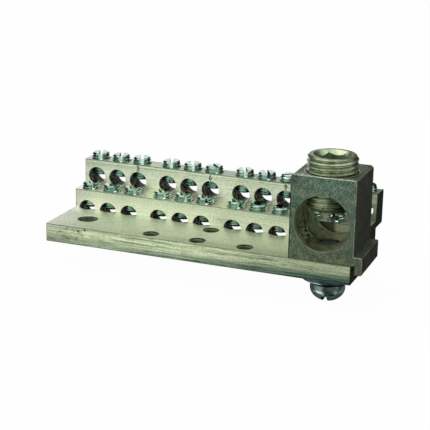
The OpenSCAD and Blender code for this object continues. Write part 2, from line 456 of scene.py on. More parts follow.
def main_lug(material):
    bar_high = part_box("stepped_bar")[1]
    set_low, set_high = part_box("lug_set_screw")
    place = at(bar_high.x - LUG_INSET, 0, 0) @ Matrix.Rotation(LUG_TURN, 4, "Z")
    half = LUG_BORE_R + LUG_SIDE
    bore_z = FLANGE_T + LUG_FLOOR + LUG_BORE_R
    top_z = bore_z + LUG_BORE_R + LUG_ROOF
    foot_x = LUG_INSET + FOOT_GAP
    shoulder_z = FLANGE_T + FOOT_RISE
    outline = rounded([
        (-half, FLANGE_T, 0), (foot_x, FLANGE_T, 0), (foot_x, FLANGE_T - FOOT_DROP, 0),
        (foot_x + FOOT_T, FLANGE_T - FOOT_DROP, CORNER_R), (foot_x + FOOT_T, shoulder_z, CORNER_R),
        (half, shoulder_z, 0), (half, top_z, LUG_CORNER_R), (-half, top_z, LUG_CORNER_R)])
    front = -LUG_DEPTH / 2
    lug = extrusion("lug", outline, front, LUG_DEPTH / 2, LUG_EDGE, lambda p, y: Vector((p.x, y, p.y)))
    cut(lug, placed(drill(LUG_BORE_R, 0, LUG_DEPTH, BORE_EDGE), at(0, front, bore_z) @ ALONG_Y))
    set_r = (set_high.x - set_low.x) / 2 + THREAD_GAP
    set_at = place.inverted() @ Vector(((set_low.x + set_high.x) / 2, (set_low.y + set_high.y) / 2, 0))
    tap_high = top_z - bore_z + 3 * CLEAR
    tap = thread("tap", set_r + LUG_TAP_DEPTH, LUG_TAP_DEPTH, SET_PITCH, 0, tap_high, FINE_SEGMENTS)
    cut(lug, placed(tap, at(set_at.x, set_at.y, bore_z)))
    mouth = lathe("mouth", [(set_r, top_z - LUG_TAP_EDGE), (set_r + LUG_TAP_EDGE, top_z),
                            (set_r + LUG_TAP_EDGE, top_z + CLEAR)])
    cut(lug, placed(mouth, at(set_at.x, set_at.y, 0)))
    cut(lug, drill(BOLT_R + THREAD_GAP, FLANGE_T, FLANGE_T + LUG_FLOOR, HOLE_EDGE))
    placed(lug, place)
    finished(lug, "tapped_lug", "main_lug", "bar", material)


# Screws and washers

def slot_angle(node, floor_z):
    """Direction of the slot in a CAD screw, from the corners of the slot's floor."""
    low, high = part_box(node)
    middle = (low + high) / 2
    corners = frame["nodes"][node].data.vertices
    near = [v.co - middle for v in corners if abs(v.co.z - floor_z) < LEVEL_WITHIN]
    xx = sum(p.x * p.x for p in near)
    yy = sum(p.y * p.y for p in near)
    xy = sum(p.x * p.y for p in near)
    return 0.5 * math.atan2(2 * xy, xx - yy)


def foot_of(node):
    low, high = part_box(node)
    return at((low.x + high.x) / 2, (low.y + high.y) / 2, low.z)


def terminal_screws(row, material):
    """The clamp screws of one row, from one threaded and slotted pattern."""
    names = sorted(n for n in frame["nodes"] if n.startswith(row + "_terminal_screw"))
    low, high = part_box(names[0])
    length = high.z - low.z
    radius = (high.x - low.x) / 2
    pattern = lathe("terminal_screw", [(radius - CHAMFER, 0), (radius, CHAMFER),
                                       (radius, length - CHAMFER), (radius - CHAMFER, length)])
    ridge = thread("ridge", radius, TERMINAL_DEPTH, TERMINAL_PITCH, -TERMINAL_PITCH, length + TERMINAL_PITCH)
    cut(pattern, ridge, "INTERSECT")
    cut(pattern, box("slot", (-2 * radius, -SLOT_W / 2, length - SLOT_DEPTH),
                     (2 * radius, SLOT_W / 2, length + radius)))
    for node in names:
        turn = Matrix.Rotation(slot_angle(node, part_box(node)[1].z - SLOT_DEPTH), 4, "Z")
        screw = placed(new_object("screw", pattern.data.copy()), foot_of(node) @ turn)
        finished(screw, node.replace("terminal", "threaded"), node, node, material)
    bpy.data.objects.remove(pattern)


def set_screw(material):
    low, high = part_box("lug_set_screw")
    radius = (high.x - low.x) / 2
    length = high.z - low.z
    screw = lathe("set_screw", [(radius - SET_END_CHAMFER, 0), (radius, SET_END_CHAMFER),
                                (radius, length - SET_TOP_CHAMFER), (radius - SET_TOP_CHAMFER, length)],
                  FINE_SEGMENTS)
    ridge = thread("ridge", radius, SET_DEPTH, SET_PITCH, -SET_PITCH, length + SET_PITCH, FINE_SEGMENTS)
    cut(screw, ridge, "INTERSECT")
    corner_r = SOCKET_AF / 2 / math.cos(math.pi / SOCKET_SIDES)
    socket = lathe("socket", [(corner_r, length - SOCKET_DEPTH), (corner_r, length + radius)], SOCKET_SIDES)
    cut(screw, placed(socket, Matrix.Rotation(LUG_TURN, 4, "Z")))
    flat_r = SOCKET_AF / 2
    mouth = SOCKET_MOUTH_R - flat_r
    cut(screw, lathe("mouth", [(flat_r, length - mouth), (flat_r + 2 * mouth, length + mouth)], FINE_SEGMENTS))
    placed(screw, foot_of("lug_set_screw"))
    finished(screw, "lug_threaded_screw", "lug_set_screw", "lug_set_screw", material)


def mounting_screw(material):
    low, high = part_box("lug_mounting_screw")
    head_r = (high.x - low.x) / 2
    # The slot takes the dome's pole away, so the pole is found from the washer that the head bears on
    pole_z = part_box("lock_washer")[0].z - HEAD_SIDE - HEAD_DOME
    length = high.z - pole_z
    under_z = HEAD_DOME + HEAD_SIDE
    dome = []
    for k in range(1, DOME_STEPS + 1):
        a = math.pi / 2 * k / DOME_STEPS
        dome.append((head_r * math.sin(a), HEAD_DOME - HEAD_DOME * math.cos(a)))
    screw = lathe("mounting_screw", dome + [(head_r, under_z), (BOLT_R, under_z), (BOLT_R, length - CHAMFER),
                                            (BOLT_R - CHAMFER, length)])
    turn = slot_angle("lug_mounting_screw", pole_z + HEAD_SLOT_DEPTH)
    slot = box("slot", (-2 * head_r, -HEAD_SLOT_W / 2, -head_r),
               (2 * head_r, HEAD_SLOT_W / 2, HEAD_SLOT_DEPTH))
    cut(screw, placed(slot, Matrix.Rotation(turn, 4, "Z")))
    placed(screw, at((low.x + high.x) / 2, (low.y + high.y) / 2, pole_z))
    finished(screw, "lug_slotted_screw", "lug_mounting_screw", "bar", material)


def washer(node):
    """A ring of the CAD washer's size with rounded edges."""
    low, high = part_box(node)
    outer = (high.y - low.y) / 2
    inner = BOLT_R + WASHER_GAP
    thickness = high.z - low.z
    profile = rounded([(inner, 0, 0), (outer, 0, WASHER_EDGE), (outer, thickness, WASHER_EDGE),
                       (inner, thickness, 0)])
    ring = lathe("washer", profile, FINE_SEGMENTS, closed=True)
    middle_x = high.x - outer
    return placed(ring, at(middle_x, (low.y + high.y) / 2, low.z))


def washers(material):
    finished(washer("flat_washer"), "lug_flat_washer", "flat_washer", "bar", material)
    low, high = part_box("lock_washer")
    split = washer("lock_washer")
    cut(split, box("split", ((low.x + high.x) / 2, -LOCK_SPLIT / 2, low.z - CLEAR),
                   (high.x + CLEAR, LOCK_SPLIT / 2, high.z + CLEAR)))
    finished(split, "lug_lock_washer", "lock_washer", "bar", material)


# Materials: places and distances in millimetres

FRONT_Y = -10.35
LOWER_Y = 11.35
UPPER_Y = 19.0
LEFT_X = -10.4
RIGHT_X = 95.6
FLANGE_TOP = 6.2
LEDGE_TOP = 12.7
BAR_TOP = 21.7
LONG_CORNERS = ((FRONT_Y, FLANGE_TOP), (LOWER_Y, LEDGE_TOP), (UPPER_Y, BAR_TOP))

# Middle and half size in Y and in Z of the flange and of the two blocks, just under their skin
INSIDES = ((4.1, 14.2, 3.1, 2.95), (14.925, 3.45, 6.35, 6.2), (22.575, 3.45, 16.1, 5.45))
INSIDE_MIDDLE_X = 42.66
INSIDE_HALF_X = 52.9
SKIN = 0.05
NUMBER_FLOOR_Y = 19.25
BLOCKS_FROM_Y = 9.2
UPPER_MOUTH_Y = 20.4
LOWER_MOUTH_Y = 12.8

# The scuff at the left of the flange's front, and two dark spots beside it
SCUFF_X, SCUFF_Z, SCUFF_W, SCUFF_H = -1.3, 3.6, 4.9, 2.0
SCUFF_SPOTS = ((1.6, 4.9), (4.0, 5.6))

LUG_AXIS_X = 85.62
LUG_AXIS_Z = 18.65
LUG_LEFT_X = 74.9
LUG_MOUTH_Z = 33.3
LUG_FRONT_EDGE_Y = -10.0
HEAD_RIM_Z = -5.6
RIM_GAP_X = LUG_AXIS_X + 2.0
LOCK_WASHER_Z = -2.0
WASHER_FOOT_Z = -1.72

WHITE = (1, 1, 1)
GRIME = (0.10, 0.115, 0.08)
SAW_DIRT = (0.14, 0.16, 0.11)
BUMP_HEIGHT = 0.05 * MM


class Graph:
    """Short calls that build one material's nodes."""

    def __init__(self, name):
        self.material = bpy.data.materials.new(name)
        self.material.use_nodes = True
        self.tree = self.material.node_tree
        self.shader = self.tree.nodes["Principled BSDF"]

    def node(self, kind, inputs=None, **settings):
        made = self.tree.nodes.new(kind)
        for key, value in settings.items():
            setattr(made, key, value)
        for key, value in (inputs or {}).items():
            self.put(made.inputs[key], value)
        return made

    def put(self, socket, value):
        if isinstance(value, bpy.types.NodeSocket):
            self.tree.links.new(value, socket)
        else:
            socket.default_value = value

    def set(self, **inputs):
        for key, value in inputs.items():
            name = key.replace("_", " ").title().replace("Ior", "IOR")
            self.put(self.shader.inputs[name], value)

    def coordinates(self, name):
        return self.node("ShaderNodeTexCoord").outputs[name]

    def parts(self, vector):
        """A vector's X, Y and Z."""
        made = self.node("ShaderNodeSeparateXYZ", {"Vector": vector})
        return [made.outputs[name] for name in "XYZ"]

    def places(self, scale):
        """Object coordinates in millimetres, stretched by scale along each axis."""
        return self.node("ShaderNodeMapping", {"Vector": self.coordinates("Object"),
                                               "Scale": [s / MM for s in scale]}).outputs["Vector"]

    def where(self):
        """The object coordinates X, Y and Z, in millimetres."""
        return self.parts(self.places((1, 1, 1)))

    def in_box(self):
        """The place in the piece's own box, from 0 to 1 along X, Y and Z."""
        return self.parts(self.coordinates("Generated"))

    def facing(self):
        """How far the surface faces along X, Y and Z of the object, from -1 to 1."""
        return self.parts(self.coordinates("Normal"))

    def noise(self, scale, detail=4.0, roughness=0.55, stretch=(1, 1, 1)):
        place = self.places([scale * s for s in stretch])
        return self.node("ShaderNodeTexNoise", {"Vector": place, "Scale": 1.0, "Detail": detail,
                                                "Roughness": roughness}).outputs["Fac"]

    def ramp(self, value, *stops):
        """A colour ramp through (place, colour) stops."""
        made = self.node("ShaderNodeValToRGB", {"Fac": value})
        points = made.color_ramp.elements
        while len(points) < len(stops):
            points.new(0.5)
        for point, (place, colour) in zip(points, stops):
            point.position = place
            point.color = (*colour, 1)
        return made.outputs["Color"]

    def grey(self, value, low, high, start=0.3, end=0.7):
        """From low to high while value goes from start to end."""
        return self.node("ShaderNodeMapRange", {"Value": value, "From Min": start, "From Max": end,
                                                "To Min": low, "To Max": high}).outputs["Result"]

    def rise(self, value, start, end):
        return self.grey(value, 0.0, 1.0, start, end)

    def fall(self, value, start, end):
        return self.grey(value, 1.0, 0.0, start, end)

    def math(self, operation, first, second=0.0):
        made = self.node("ShaderNodeMath", operation=operation)
        self.put(made.inputs[0], first)
        self.put(made.inputs[1], second)
        return made.outputs["Value"]

    def overlap(self, share, *others):
        """Where all the shares hold: their product."""
        for other in others:
            share = self.math("MULTIPLY", share, other)
        return share

    def near(self, value, centre, half, soft):
        """1 where value lies within half of centre, falling to 0 over soft."""
        away = self.math("ABSOLUTE", self.math("SUBTRACT", value, centre))
        return self.node("ShaderNodeMapRange", {"Value": away, "From Min": half, "From Max": half + soft,
                                                "To Min": 1.0, "To Max": 0.0},
                         interpolation_type="SMOOTHSTEP").outputs["Result"]

    def away(self, first, centre, second, other_centre):
        """Distance in two coordinates from a point."""
        along = self.math("SUBTRACT", first, centre)
        across = self.math("SUBTRACT", second, other_centre)
        return self.length(along, across)

    def length(self, first, second):
        return self.math("SQRT", self.math("ADD", self.math("MULTIPLY", first, first),
                                           self.math("MULTIPLY", second, second)))

    def mix(self, share, first, second, blend="MIX"):
        made = self.node("ShaderNodeMix", data_type="RGBA", blend_type=blend)
        for key, value in (("Factor_Float", share), ("A_Color", first), ("B_Color", second)):
            socket = next(s for s in made.inputs if s.identifier == key)
            self.put(socket, (*value, 1) if isinstance(value, tuple) else value)
        return next(s for s in made.outputs if s.identifier == "Result_Color")

    def times(self, colour, factor, share=1.0):
        return self.mix(share, colour, factor, "MULTIPLY")

    def scaled(self, colour, share, factor):
        """A colour multiplied by factor where share is 1, and left alone where it is 0."""
        return self.mix(share, colour, self.times(colour, factor))

    def bump(self, height, strength):
        return self.node("ShaderNodeBump", {"Height": height, "Distance": BUMP_HEIGHT,
                                            "Strength": strength}).outputs["Normal"]


def bar_planes(graph, spot, front, up, lines, grain):
    """The bar's plain faces: drawn lines and grain; painted light and shade, with a tone for each plane and end
    as the light falls on it, painted light by the step and on the blocks' fronts, and painted shade behind the
    lug and to the right; and a darker strip along the front of the flange's top.
    """
    x, y, z = spot
    clouds = graph.noise(0.09, 5, 0.6)
    tone = graph.ramp(lines, (0.3, (0.44, 0.50, 0.36)), (0.5, (0.51, 0.573, 0.422)),
                      (0.7, (0.57, 0.63, 0.473)))
    tone = graph.times(tone, graph.ramp(clouds, (0.35, (0.86, 0.91, 0.88)), (0.65, WHITE)), 0.7)
    grains = graph.ramp(grain, (0.32, (0.52, 0.55, 0.48)), (0.48, WHITE), (0.7, (1.12, 1.12, 1.12)))
    tone = graph.times(tone, grains)
    # Painted light and shade: the fronts lighter, and each top lighter or darker and bluer as the light falls
    # on it
    tone = graph.scaled(tone, front, (1.22, 1.20, 1.20))
    for top_z, factor in ((FLANGE_TOP, (1.02, 1.01, 0.98)), (LEDGE_TOP, (1.16, 1.07, 1.11)),
                          (BAR_TOP, (0.79, 0.80, 0.88))):
        tone = graph.scaled(tone, graph.overlap(up, graph.near(z, top_z, 1, 0.5)), factor)
    # Darker and yellower along the front of the flange's top, in the middle
    front_strip = graph.overlap(graph.fall(y, -7.5, -4.0), graph.rise(x, 12.0, 40.0), up)
    tone = graph.scaled(tone, front_strip, (0.75, 0.75, 0.68))
    # Painted light on the flange's top by the step, at the left, lifting the step's shade
    lit_by_step = graph.overlap(graph.rise(y, 6.0, 9.0), graph.fall(x, 20.0, 45.0), up)
    tone = graph.scaled(tone, lit_by_step, (1.25, 1.25, 1.25))
    # Painted light on the lower parts of the two blocks' fronts
    lit_lower_front = graph.overlap(graph.near(y, LOWER_Y, 0.2, 0.2), graph.fall(z, 9.5, 12.4), front)
    tone = graph.scaled(tone, lit_lower_front, (1.30, 1.20, 1.32))
    lit_upper_front = graph.overlap(graph.near(y, UPPER_Y, 0.2, 0.2), graph.fall(z, 18.0, 20.0), front)
    tone = graph.scaled(tone, lit_upper_front, (1.24, 1.17, 1.24))
    # Painted shade on the lower block's front behind the lug
    shade_behind_lug = graph.overlap(graph.near(x, 81.3, 1.8, 1.6), graph.near(y, LOWER_Y, 0.3, 0.3))
    tone = graph.scaled(tone, shade_behind_lug, (0.24, 0.24, 0.22))
    left_end = graph.fall(x, -9.0, 3.0)
    # Painted light: the tops lighter and bluer at the left end
    tone = graph.scaled(tone, graph.overlap(left_end, up), (1.36, 1.28, 1.50))
    left_lip = graph.overlap(front, graph.fall(z, 6.5, 8.0), left_end)
    tone = graph.scaled(tone, left_lip, (0.90, 0.91, 0.96))
    # Painted shade: the fronts darker to the right
    shaded_right_fronts = graph.overlap(front, graph.rise(x, 42.0, 60.0))
    return graph.scaled(tone, shaded_right_fronts, (0.92, 0.92, 0.91))


def bar_lip(graph, spot, tone):
    """The flange's front: streaks and dashes along it, a dark line at its foot, darker streaks low along it
    that are partly stained and partly a painted reflection, painted shade to the right and under the lug, a
    lighter band under its top edge, and a scuff near its left end.
    """
    x, y, z = spot
    lip = graph.near(y, FRONT_Y, 0.3, 0.25)
    streak = graph.noise(1.0, 6, 0.72, (0.035, 1.6, 1.6))
    streaks = graph.ramp(streak, (0.36, (0.32, 0.36, 0.32)), (0.48, (0.78, 0.82, 0.73)),
                         (0.6, (1.12, 1.10, 1.0)))
    tone = graph.scaled(tone, lip, streaks)
    dash = graph.noise(1.0, 3, 0.6, (0.22, 4.0, 4.0))
    dashes = graph.ramp(dash, (0.36, (0.62, 0.66, 0.62)), (0.46, WHITE), (0.62, (1.16, 1.15, 1.12)))
    tone = graph.scaled(tone, lip, dashes)
    foot = graph.overlap(lip, graph.near(z, 0.0, 0.2, 0.15))
    tone = graph.scaled(tone, foot, (0.50, 0.56, 0.54))
    # Painted shade: the flange's front darker to the right
    shaded_right_half = graph.overlap(lip, graph.rise(x, 50.0, 66.0))
    tone = graph.scaled(tone, shaded_right_half, (0.83, 0.83, 0.83))
    # Painted shade under the lug on the flange's front
    shade_under_lug = graph.overlap(graph.rise(x, 72.0, 77.0), graph.rise(z, 2.6, 3.6), lip)
    tone = graph.scaled(tone, shade_under_lug, (0.82, 0.84, 0.83))
    # Darker, greener streaks low on the flange's front, stronger to the right: partly stained, partly a painted
    # reflection of the darker floor near the part
    stain_and_shade = graph.overlap(graph.fall(z, 1.6, 3.4), graph.grey(x, 0.38, 1.0, 0.0, 94.0),
                       graph.grey(streak, 1.25, 0.75, 0.36, 0.62), lip)
    tone = graph.scaled(tone, stain_and_shade, (0.06, 0.16, 0.19))
    # A lighter band just under the flange's top edge
    light_band = graph.overlap(lip, graph.near(z, 5.65, 0.12, 0.12), graph.fall(streak, 0.42, 0.55))
    tone = graph.scaled(tone, light_band, (1.35, 1.35, 1.35))

    off_x = graph.math("DIVIDE", graph.math("SUBTRACT", x, SCUFF_X), SCUFF_W)
    off_z = graph.math("DIVIDE", graph.math("SUBTRACT", z, SCUFF_Z), SCUFF_H)
    ring = graph.near(graph.length(off_x, off_z), 0.8, 0.1, 0.25)
    ring = graph.overlap(lip, ring, graph.rise(graph.noise(1.6, 3, 0.6), 0.45, 0.6))
    tone = graph.scaled(tone, ring, (0.50, 0.45, 0.36))
    for spot_x, spot_z in SCUFF_SPOTS:
        dot = graph.near(graph.away(x, spot_x, z, spot_z), 0, 0.25, 0.3)
        tone = graph.scaled(tone, graph.overlap(lip, dot), (0.15, 0.15, 0.12))
    return tone


def bar_edges(graph, spot, front, tone):
    """Drawn lines and a light edge at the upper front's top, grime on the corners and the left sawn end,
    painted shade low on the upper front's last strip behind the lug, and painted shade on the right sawn end.
    """
    x, y, z = spot
    upper = graph.near(y, UPPER_Y, 0.2, 0.2)
    drawn = graph.ramp(graph.noise(1.0, 3, 0.6, (0.04, 3.0, 4.5)), (0.40, (0.45, 0.47, 0.42)), (0.47, WHITE))
    tone = graph.scaled(tone, graph.overlap(front, upper, graph.near(z, 20.9, 0.5, 0.5)), drawn)
    top_edge = graph.overlap(upper, graph.near(z, 21.25, 0.2, 0.1), front)
    tone = graph.scaled(tone, top_edge, (1.22, 1.22, 1.22))
    broken = graph.rise(graph.noise(1.0, 4, 0.6, (0.5, 2.0, 2.0)), 0.35, 0.55)
    for edge_y, edge_z in LONG_CORNERS:
        corner = graph.overlap(graph.near(y, edge_y, 0.12, 0.2), graph.near(z, edge_z, 0.12, 0.2),
                            graph.grey(broken, 0.65, 0.95, 0, 1))
        tone = graph.mix(corner, tone, GRIME)
    sawn = graph.overlap(graph.near(x, LEFT_X, 0.1, 0.2), graph.grey(broken, 0.45, 0.8, 0, 1))
    tone = graph.mix(sawn, tone, SAW_DIRT)
    # Painted shade low on the upper front's last strip, behind the lug
    last = graph.overlap(graph.rise(x, 93.2, 94.2), graph.fall(z, 18.0, 19.0),
                         graph.near(y, UPPER_Y, 0.3, 0.3))
    tone = graph.scaled(tone, last, (0.55, 0.57, 0.53))
    # Painted shade on the right end face
    return graph.scaled(tone, graph.rise(x, 95.3, RIGHT_X), (0.10, 0.107, 0.095))


def bar_drillings(graph, spot, facing):
    """Tones of the holes, dark partly with oil and partly with painted shade: wire ways with painted light on
    the left wall and painted shade on the right, a painted sheen at their mouths and painted light low on the
    right, and duller holes in the flange."""
    y = spot[1]
    facing_x, _, facing_z = facing
    oil_and_shade = graph.noise(0.7, 4, 0.6)
    # Dark tones in the holes: partly oil, partly painted shade
    wire_way = graph.ramp(oil_and_shade, (0.35, (0.018, 0.020, 0.015)), (0.5, (0.055, 0.052, 0.035)),
                          (0.64, (0.27, 0.28, 0.20)))
    # Painted light on the left walls and painted shade on the right walls
    wire_way = graph.times(wire_way, graph.grey(facing_x, 0.3, 1.7, -0.6, 0.6))
    mouth = graph.math("MAXIMUM", graph.near(y, UPPER_MOUTH_Y, 0.7, 0.8),
                       graph.near(y, LOWER_MOUTH_Y, 0.7, 0.8))
    # A painted sheen on the left walls at the mouths
    sheen = graph.overlap(mouth, graph.near(facing_z, -0.35, 0.15, 0.2), graph.rise(facing_x, 0.5, 0.8))
    wire_way = graph.mix(sheen, wire_way, (0.20, 0.25, 0.26))
    # Painted light on the lower right walls
    lit_low_right = graph.overlap(graph.fall(facing_x, -0.3, 0.05), graph.rise(facing_z, 0.3, 0.6))
    wire_way = graph.mix(lit_low_right, wire_way, (0.85, 0.88, 0.80))
    plain = graph.ramp(oil_and_shade, (0.35, (0.09, 0.10, 0.06)), (0.65, (0.24, 0.26, 0.165)))
    return graph.mix(graph.fall(y, BLOCKS_FROM_Y - SKIN, BLOCKS_FROM_Y), wire_way, plain)


def bar_aluminium():
    """Drawn aluminium: lines along the bar, painted light and shade on its planes, a front edge partly stained
    and partly painted dark, grime on the corners, and drillings dark partly with oil and partly with painted
    shade.
    """
    graph = Graph("bar_aluminium")
    lines = graph.noise(1.0, 5, 0.6, (0.012, 2.2, 2.2))
    fine = graph.noise(1.0, 4, 0.6, (0.05, 9.0, 9.0))
    grain = graph.noise(2.2, 3, 0.7)
    spot = graph.where()
    x, y, z = spot
    facing = graph.facing()
    front = graph.fall(facing[1], -0.9, -0.5)
    up = graph.rise(facing[2], 0.5, 0.9)
    tone = bar_planes(graph, spot, front, up, lines, grain)
    tone = bar_lip(graph, spot, tone)
    tone = bar_edges(graph, spot, front, tone)

    inside = 0.0
    for mid_y, half_y, mid_z, half_z in INSIDES:
        block = graph.overlap(graph.near(y, mid_y, half_y, SKIN), graph.near(z, mid_z, half_z, SKIN))
        inside = graph.math("MAXIMUM", inside, block)
    inside = graph.overlap(inside, graph.near(x, INSIDE_MIDDLE_X, INSIDE_HALF_X, SKIN))
    stamped = graph.overlap(graph.near(y, NUMBER_FLOOR_Y, 0.15, 0.02), graph.rise(z, 19.15, 19.25))
    inside = graph.overlap(inside, graph.math("SUBTRACT", 1.0, stamped))
    # Painted shade in the stamped numbers' pits
    tone = graph.scaled(tone, stamped, (0.30, 0.31, 0.28))
    tone = graph.mix(inside, tone, bar_drillings(graph, spot, facing))

    rough = graph.math("ADD", graph.grey(lines, 0.34, 0.46), graph.grey(fine, -0.04, 0.06))
    height = graph.math("ADD", lines, graph.math("MULTIPLY", fine, 0.35))
    height = graph.math("ADD", height, graph.math("MULTIPLY", grain, 0.25))
    graph.set(base_color=tone, metallic=graph.grey(inside, 0.75, 0.0, 0, 1), roughness=rough,
              specular_ior_level=0.1, normal=graph.bump(height, 0.35))
    return graph.material


def lug_top(graph, spot, sides):
    """The lug's top: scraped on the left, duller to the right, and abraded along the front edge."""
    x, y, _ = spot
    scraped = graph.ramp(graph.noise(0.8, 5, 0.7), (0.36, (0.04, 0.045, 0.03)), (0.46, (0.15, 0.17, 0.125)),
                         (0.6, (0.30, 0.33, 0.27)))
    scraped = graph.mix(graph.grey(x, 0.8, 0.2, 78.0, 92.0), sides, scraped)
    band_tone = graph.ramp(graph.noise(1.3, 4, 0.65), (0.38, (0.10, 0.12, 0.08)), (0.48, (0.33, 0.37, 0.28)),
                      (0.62, (0.55, 0.58, 0.46)))
    return graph.mix(graph.grey(y, 0.9, 0.0, -9.2, -7.6), scraped, band_tone)


def lug_bore(graph, spot, facing_x):
    """The lug's bore: dark partly with oil and partly with painted shade, with grease stuck to its lower left
    wall and painted light on its left wall.
    """
    x, y, z = spot
    # Dark tones in the bore: partly oil, partly painted shade
    oil_and_shade = graph.ramp(graph.noise(0.35, 5, 0.65), (0.36, (0.09, 0.095, 0.045)), (0.5, (0.21, 0.23, 0.125)),
                      (0.66, (0.33, 0.345, 0.20)))
    grease = graph.ramp(graph.noise(0.9, 4, 0.6), (0.42, (0.015, 0.016, 0.010)), (0.5, (0.19, 0.20, 0.11)),
                        (0.6, (0.50, 0.50, 0.32)))
    stuck = graph.overlap(graph.fall(x, 79.5, 82.0), graph.fall(z, 15.5, 18.0), graph.near(y, -3.0, 3.0, 2.0))
    oil_and_shade = graph.mix(stuck, oil_and_shade, grease)
    # Painted light on the bore's left wall
    return graph.scaled(oil_and_shade, graph.rise(facing_x, 0.3, 0.8), (1.8, 1.8, 1.85))


def lug_sawn(graph, z, blotch):
    """The lug's sawn front and back: blotched and speckled, and browner low down."""
    sawn = graph.ramp(blotch, (0.3, (0.050, 0.085, 0.072)), (0.5, (0.088, 0.135, 0.100)),
                      (0.7, (0.15, 0.19, 0.13)))
    sawn = graph.scaled(sawn, graph.fall(z, 9.0, 22.0), (0.96, 0.85, 0.72))
    specks = graph.ramp(graph.noise(3.0, 2, 0.5), (0.34, (0.50, 0.52, 0.50)), (0.44, WHITE), (0.56, WHITE),
                        (0.68, (2.1, 2.0, 1.85)))
    return graph.times(sawn, specks)


def lug_aluminium():
    """Speckled sawn faces front and back, a scraped top, dull sides, painted highlights on the tapped hole's
    rim and the rounded edges, painted light high up, and a bore dark partly with oil and partly with painted
    shade.
    """
    graph = Graph("lug_aluminium")
    spot = graph.where()
    x, y, z = spot
    facing_x, facing_y, facing_z = graph.facing()
    blotch = graph.noise(0.45, 6, 0.65)
    pits = graph.noise(2.2, 5, 0.6)
    saw = graph.noise(1.0, 4, 0.6, (0.6, 1.0, 5.0))
    sides = graph.ramp(blotch, (0.3, (0.09, 0.105, 0.078)), (0.7, (0.20, 0.22, 0.165)))
    top = graph.overlap(graph.rise(facing_z, 0.6, 0.8), graph.rise(z, 30.0, 31.0))
    tone = graph.mix(top, sides, lug_top(graph, spot, sides))
    from_bore = graph.away(x, LUG_AXIS_X, z, LUG_AXIS_Z)
    tone = graph.mix(graph.fall(from_bore, 9.2, 9.3), tone, lug_bore(graph, spot, facing_x))
    end_faces = graph.rise(graph.math("ABSOLUTE", facing_y), 0.6, 0.8)
    tone = graph.mix(end_faces, tone, lug_sawn(graph, z, blotch))

    set_low, set_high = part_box("lug_set_screw")
    set_middle = (set_low + set_high) / 2 / MM
    rim_r = (set_high.x - set_low.x) / 2 / MM + 0.3
    # Painted highlight on the tapped hole's chamfered rim
    rim = graph.overlap(graph.near(graph.away(x, set_middle.x, y, set_middle.y), rim_r, 0.25, 0.15),
                     graph.rise(z, LUG_MOUTH_Z - 0.2, LUG_MOUTH_Z), graph.grey(blotch, 0.3, 1.0, 0.4, 0.55))
    tone = graph.mix(rim, tone, (0.62, 0.66, 0.52))
    flat = graph.math("ABSOLUTE", facing_x)
    for facing in (facing_y, facing_z):
        flat = graph.math("MAXIMUM", flat, graph.math("ABSOLUTE", facing))
    # Painted highlight on the rounded edges
    edge = graph.overlap(graph.fall(flat, 0.80, 0.97), graph.rise(from_bore, 9.4, 9.6),
                      graph.grey(pits, 0.2, 1.0, 0.4, 0.6))
    tone = graph.mix(edge, tone, (0.42, 0.45, 0.33))
    left_edge = graph.overlap(graph.near(x, LUG_LEFT_X, 0.7, 0.2), graph.fall(z, 28.0, 31.0),
                           graph.fall(y, LUG_FRONT_EDGE_Y, LUG_FRONT_EDGE_Y + 0.4))
    tone = graph.scaled(tone, left_edge, (0.25, 0.27, 0.26))
    # Painted light: lighter and bluer high up
    high = graph.overlap(graph.near(x, 87.0, 3.0, 5.0), graph.rise(z, 26.0, 29.0))
    tone = graph.scaled(tone, high, (1.06, 1.08, 1.10))
    corner = graph.overlap(graph.near(x, 75.0, 1.6, 2.0), graph.near(z, 32.6, 1.2, 1.6))
    tone = graph.scaled(tone, corner, (0.60, 0.60, 0.60))
    pitted = graph.ramp(pits, (0.32, (0.45, 0.48, 0.46)), (0.5, WHITE), (0.68, (1.35, 1.33, 1.28)))
    tone = graph.times(tone, pitted, 0.9)
    graph.set(base_color=tone, metallic=1.0, roughness=graph.grey(pits, 0.42, 0.58),
              normal=graph.bump(graph.math("ADD", pits, saw), 0.5))
    return graph.material


def set_screw_aluminium():
    """Turned aluminium with a dull olive film, dark roots that are partly dirt and partly painted shade, a
    painted shade on the top rim that tones down its glint, and painted shade on its foot's right.
    """
    graph = Graph("set_screw_aluminium")
    blotch = graph.noise(0.5, 5, 0.6)
    pits = graph.noise(2.5, 4, 0.6)
    tone = graph.ramp(blotch, (0.3, (0.25, 0.31, 0.185)), (0.7, (0.52, 0.60, 0.40)))
    tone = graph.times(tone, graph.ramp(pits, (0.3, (0.62, 0.63, 0.58)), (0.55, WHITE)), 0.7)
    across, deep, up = graph.in_box()
    out = graph.away(across, 0.5, deep, 0.5)
    # Dark thread roots: partly dirt, partly painted shade
    root = graph.overlap(graph.near(out, 0.447, 0.012, 0.02), graph.grey(up, 0.3, 0.0, 0.93, 0.95))
    tone = graph.mix(root, tone, (0.05, 0.06, 0.03))
    # Painted shade on the top rim, toning down its glint
    rim = graph.overlap(graph.rise(up, 0.93, 0.95), graph.rise(out, 0.40, 0.42))
    tone = graph.scaled(tone, rim, (0.62, 0.63, 0.60))
    # Painted shade on the right of the foot
    shaded_foot = graph.overlap(graph.fall(up, 0.32, 0.45), graph.rise(across, 0.5, 0.72))
    tone = graph.scaled(tone, shaded_foot, (0.22, 0.22, 0.20))
    graph.set(base_color=tone, metallic=0.85, roughness=graph.grey(blotch, 0.26, 0.36))
    return graph.material


